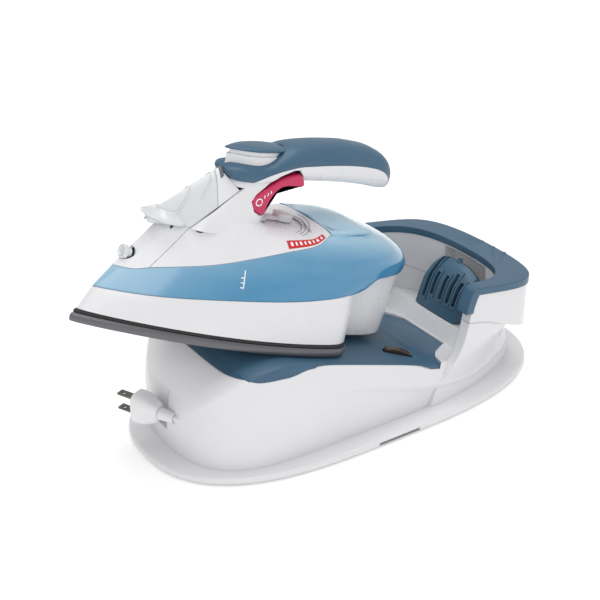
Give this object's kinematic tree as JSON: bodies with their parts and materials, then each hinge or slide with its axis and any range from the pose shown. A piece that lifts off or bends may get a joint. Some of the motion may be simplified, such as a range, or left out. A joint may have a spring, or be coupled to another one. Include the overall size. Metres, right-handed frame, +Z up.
{
  "type": "cordless steam iron with charging base",
  "caption": "Cordless steam iron drawn part way off a sloped charging base that has a horseshoe wall and a sprung connector cover.",
  "frame": {"origin": "under the middle of the whole object's box, on the surface the base stands on", "axes": "+Z up, the iron's nose points to -X, the right hand of someone facing the nose's way is +Y"},
  "size_m": [0.4144, 0.184, 0.2405],
  "materials": {
    "white_plastic": "smooth",
    "slate_plastic": "satin",
    "tank_blue": "translucent, polished",
    "clear_plastic": "clear, polished",
    "magenta_plastic": "satin",
    "grey_plastic": "satin",
    "black_plastic": "matt",
    "sole_coating": "polished ceramic coat",
    "cast_aluminium": "as cast",
    "contact_brass": "polished",
    "steel": "satin",
    "rubber": "matt",
    "circuit_board": "solder mask",
    "sensor_bronze": "smoked, polished"
  },
  "bodies": {
    "base": {"base_housing": "white_plastic", "bottom_cover": "black_plastic", "tray": "slate_plastic", "rear_wall": "white_plastic", "rim_trim": "slate_plastic", "contact_block": "black_plastic", "contact_blade_l": "contact_brass", "contact_blade_n": "contact_brass", "sensor_switch": "black_plastic", "control_board": "circuit_board", "cord": "rubber", "plug_body": "rubber", "plug_blade_a": "contact_brass", "plug_blade_b": "contact_brass", "plug_strain_relief": "rubber", "cover_screw_1": "steel", "cover_screw_2": "steel", "cover_screw_3": "steel", "cover_screw_4": "steel", "foot_1": "rubber", "foot_2": "rubber", "foot_3": "rubber", "foot_4": "rubber"},
    "iron": {"soleplate": "sole_coating", "sole_rim": "black_plastic", "skirt": "white_plastic", "water_tank": "tank_blue", "upper_housing": "white_plastic", "front_cover": "white_plastic", "door_band": "white_plastic", "spray_nozzle": "grey_plastic", "handle_grip": "slate_plastic", "handle_underside": "white_plastic", "button_block": "white_plastic", "pump_body": "grey_plastic", "heel_housing": "white_plastic", "heel_contact_l": "contact_brass", "heel_contact_n": "contact_brass", "heating_element": "steel", "steam_chamber": "cast_aluminium", "thermostat": "steel", "thermal_fuse": "steel"},
    "filler_door": {"filler_door": "clear_plastic"},
    "spray_button": {"spray_button": "slate_plastic"},
    "steam_trigger": {"steam_trigger": "magenta_plastic"},
    "steam_valve": {"valve_rod": "steel"},
    "temperature_lever": {"temperature_lever": "grey_plastic", "thermostat_shaft": "grey_plastic"},
    "connector_shutter": {"connector_shutter": "slate_plastic"},
    "iron_sensor": {"sensor_plunger": "sensor_bronze"}
  },
  "joints": [
    {"name": "dock_slide", "type": "slide", "parent": "base", "child": "iron", "axis": [0.9472, 0, -0.3206], "range_m": [-0.24, 0.0675]},
    {"name": "door_hinge", "type": "hinge", "parent": "iron", "child": "filler_door", "pos_m": [-0.08459, 0, 0.22373], "axis": [0, 1, 0], "range_deg": [0, 60]},
    {"name": "spray_press", "type": "slide", "parent": "iron", "child": "spray_button", "axis": [-0.2244, 0, -0.9745], "range_m": [0, 0.003], "stiffness_N_per_m": 500, "springref_m": -0.002},
    {"name": "trigger_squeeze", "type": "hinge", "parent": "iron", "child": "steam_trigger", "pos_m": [-0.06234, 0, 0.19466], "axis": [0, -1, 0], "range_deg": [0, 5.7], "stiffness_Nm_per_rad": 2, "springref_deg": -3.44},
    {"name": "valve_lift", "type": "slide", "parent": "iron", "child": "steam_valve", "axis": [0.3206, 0, 0.9472], "range_m": [0, 0.002]},
    {"name": "temperature_turn", "type": "hinge", "parent": "iron", "child": "temperature_lever", "pos_m": [-0.05262, 0, 0.17659], "axis": [0.3206, 0, 0.9472], "range_deg": [-32, 32]},
    {"name": "shutter_push", "type": "slide", "parent": "base", "child": "connector_shutter", "axis": [0.9472, 0, -0.3206], "range_m": [0, 0.008], "stiffness_N_per_m": 200, "springref_m": -0.004},
    {"name": "sensor_press", "type": "slide", "parent": "base", "child": "iron_sensor", "axis": [-0.3206, 0, -0.9472], "range_m": [0, 0.002], "stiffness_N_per_m": 400, "springref_m": -0.002}
  ],
  "couplings": [
    {"joint": "valve_lift", "follows": "trigger_squeeze", "m_per_rad": 0.02}
  ]
}
